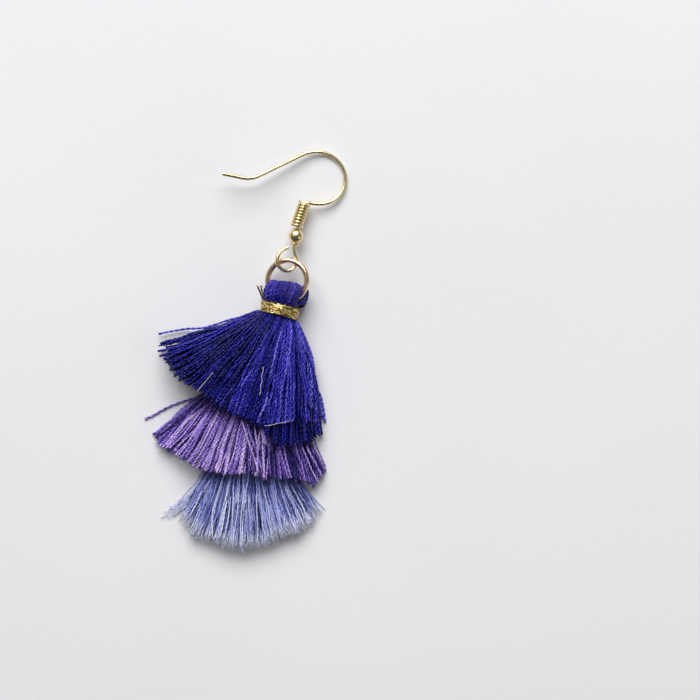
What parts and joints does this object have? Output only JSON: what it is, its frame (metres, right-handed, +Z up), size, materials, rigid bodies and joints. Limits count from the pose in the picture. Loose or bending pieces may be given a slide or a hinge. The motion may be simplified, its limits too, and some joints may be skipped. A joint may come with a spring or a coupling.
{
  "type": "tassel earring",
  "caption": "Tassel drop earring lying flat: fish-hook ear wire with coil and ball, jump ring, gold-bound thread head and stacked fanned thread skirts, indigo over purple over pale blue.",
  "frame": {"origin": "middle of the earring's footprint, at the height of the table that it lies on", "axes": "+Y along the earring towards the bow of the ear wire, +Z up off the table, +X to the right as it is seen from above with the bow away from the viewer"},
  "size_m": [0.0296, 0.0616, 0.0078],
  "materials": {
    "hook_gold": "pale gold plate, polished",
    "ring_rose_gold": "rose gold plate, polished",
    "thread_indigo": "twisted two-ply thread, silky",
    "thread_purple": "twisted two-ply thread, silky",
    "thread_periwinkle": "twisted two-ply thread, silky, frayed ends",
    "thread_gold": "metallic wrapped thread",
    "cord_indigo": "plain cord, hidden"
  },
  "bodies": {
    "root": {"ear_hook": "hook_gold", "hook_coil": "hook_gold", "ball_bead": "hook_gold", "jump_ring": "ring_rose_gold", "upper_tassel": "thread_indigo", "gold_wrap": "thread_gold", "middle_tassel": "thread_purple", "lower_tassel": "thread_periwinkle", "core_cord": "cord_indigo"}
  },
  "joints": []
}
